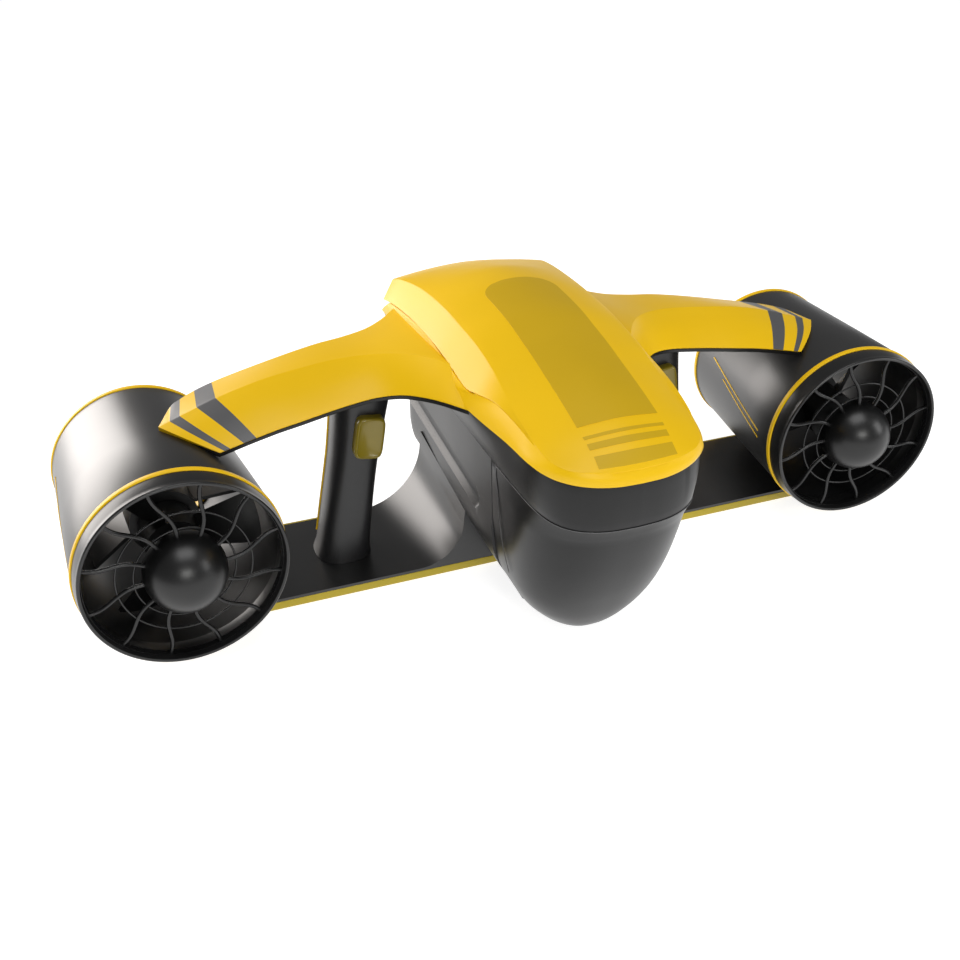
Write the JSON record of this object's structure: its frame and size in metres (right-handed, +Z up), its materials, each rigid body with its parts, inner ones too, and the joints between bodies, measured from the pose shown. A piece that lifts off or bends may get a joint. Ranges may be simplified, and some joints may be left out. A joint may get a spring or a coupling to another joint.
{
  "type": "underwater scooter",
  "caption": "Handheld underwater scooter: ducted thrusters joined by a chevron wing and lower plate, grip posts with triggers, central hull with slide-out nose battery pod.",
  "frame": {"origin": "centre of the footprint, on the underside of the lower plate", "axes": "+Z up, front (intakes and nose) towards -Y, +X to the scooter's left as seen from its front"},
  "size_m": [0.5574, 0.252, 0.1748],
  "materials": {
    "yellow_shell": "satin moulded ABS",
    "gold_panel": "satin inset panel",
    "duct_black": "semi-gloss",
    "guard_black": "satin moulded",
    "dome_black": "semi-gloss",
    "propeller_grey": "glass-filled nylon",
    "motor_black": "moulded",
    "steel": "stainless",
    "rotor_steel": "laminated steel and magnets",
    "copper_windings": "enamelled copper on steel",
    "hull_black": "fine-textured",
    "pod_black": "gloss",
    "ribbon_black": "satin",
    "trigger_yellow": "soft-touch",
    "switch_grey": "moulded",
    "battery_wrap": "shrink-wrapped cells",
    "terminal_brass": "plated",
    "board_potting": "potted circuit board"
  },
  "bodies": {
    "frame": {"battery_terminals": "terminal_brass", "controller_board": "board_potting", "deck_cover": "yellow_shell", "deck_panel": "gold_panel", "left_duct_shell": "duct_black", "left_front_bearing": "steel", "left_front_trim_ring": "yellow_shell", "left_grip_post": "hull_black", "left_grip_strip": "yellow_shell", "left_hub_dome": "dome_black", "left_intake_bezel": "duct_black", "left_intake_guard": "guard_black", "left_motor_cap": "motor_black", "left_motor_housing": "motor_black", "left_motor_stator": "copper_windings", "left_rear_bearing": "steel", "left_rear_trim_ring": "yellow_shell", "left_ribbon": "ribbon_black", "left_trigger_switch": "switch_grey", "left_wing_cover": "yellow_shell", "left_wing_underside": "hull_black", "lower_plate": "yellow_shell", "main_hull": "hull_black", "plate_screws": "steel", "right_duct_shell": "duct_black", "right_front_bearing": "steel", "right_front_trim_ring": "yellow_shell", "right_grip_post": "hull_black", "right_grip_strip": "yellow_shell", "right_hub_dome": "dome_black", "right_intake_bezel": "duct_black", "right_intake_guard": "guard_black", "right_motor_cap": "motor_black", "right_motor_housing": "motor_black", "right_motor_stator": "copper_windings", "right_rear_bearing": "steel", "right_rear_trim_ring": "yellow_shell", "right_ribbon": "ribbon_black", "right_trigger_switch": "switch_grey", "right_wing_cover": "yellow_shell", "right_wing_underside": "hull_black", "upper_shell": "yellow_shell"},
    "left_propeller": {"left_propeller": "propeller_grey", "left_motor_shaft": "steel", "left_motor_rotor": "rotor_steel"},
    "right_propeller": {"right_propeller": "propeller_grey", "right_motor_shaft": "steel", "right_motor_rotor": "rotor_steel"},
    "left_trigger": {"left_trigger": "trigger_yellow", "left_trigger_spring": "steel"},
    "right_trigger": {"right_trigger": "trigger_yellow", "right_trigger_spring": "steel"},
    "power_button": {"power_button": "switch_grey"},
    "battery_pod": {"battery_pod": "pod_black", "battery_pack": "battery_wrap"}
  },
  "joints": [
    {"name": "left_propeller_spin", "type": "hinge", "parent": "frame", "child": "left_propeller", "pos_m": [-0.215, -0.029, 0.063], "axis": [-0.0849, 0.9964, 0], "continuous": true},
    {"name": "right_propeller_spin", "type": "hinge", "parent": "frame", "child": "right_propeller", "pos_m": [0.215, -0.029, 0.063], "axis": [0.0849, 0.9964, 0], "continuous": true},
    {"name": "left_trigger_press", "type": "slide", "parent": "frame", "child": "left_trigger", "axis": [0, 1, 0], "range_m": [0, 0.004], "stiffness_N_per_m": 700, "springref_m": -0.003, "deforming": ["left_trigger_spring"]},
    {"name": "right_trigger_press", "type": "slide", "parent": "frame", "child": "right_trigger", "axis": [0, 1, 0], "range_m": [0, 0.004], "stiffness_N_per_m": 700, "springref_m": -0.003, "deforming": ["right_trigger_spring"]},
    {"name": "power_button_press", "type": "slide", "parent": "frame", "child": "power_button", "axis": [0, -1, 0], "range_m": [0, 0.0015], "stiffness_N_per_m": 1200, "springref_m": -0.0015},
    {"name": "battery_pod_slide", "type": "slide", "parent": "frame", "child": "battery_pod", "axis": [0, -1, 0], "range_m": [0, 0.095]}
  ]
}
